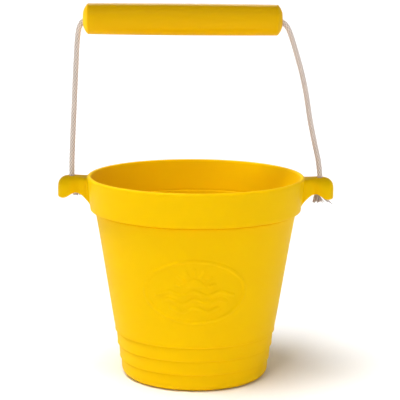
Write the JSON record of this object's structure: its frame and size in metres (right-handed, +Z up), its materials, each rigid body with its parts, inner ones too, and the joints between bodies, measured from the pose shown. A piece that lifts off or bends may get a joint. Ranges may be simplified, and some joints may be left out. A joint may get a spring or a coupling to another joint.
{
  "type": "sand bucket",
  "caption": "Soft moulded beach bucket with a thick rim band, hooded ears, a knotted rope handle and a loose round grip.",
  "frame": {"origin": "centre of the bucket's base, on the ground", "axes": "+Z up, X along the two ears and the grip, -Y the side with the emblem"},
  "size_m": [0.1904, 0.15, 0.2575],
  "materials": {
    "bucket_silicone": "soft satin yellow silicone with a faint powdery sheen",
    "grip_silicone": "firm satin yellow silicone, a little deeper in colour",
    "cotton_rope": "undyed braided cotton, matt, with a fine diagonal braid"
  },
  "bodies": {
    "bucket": {"bucket": "bucket_silicone", "left_knot": "cotton_rope", "right_knot": "cotton_rope", "left_frayed_end": "cotton_rope", "right_frayed_end": "cotton_rope"},
    "handle": {"rope_span": "cotton_rope", "left_rope_bend": "cotton_rope", "right_rope_bend": "cotton_rope"},
    "grip": {"grip": "grip_silicone"}
  },
  "joints": [
    {"name": "handle_swing", "type": "hinge", "parent": "bucket", "child": "handle", "pos_m": [0, 0, 0.139], "axis": [1, 0, 0], "range_deg": [-135, 135], "deforming": ["left_rope_bend", "right_rope_bend"]},
    {"name": "grip_spin", "type": "hinge", "parent": "handle", "child": "grip", "pos_m": [0, 0, 0.2467], "axis": [1, 0, 0], "continuous": true}
  ]
}
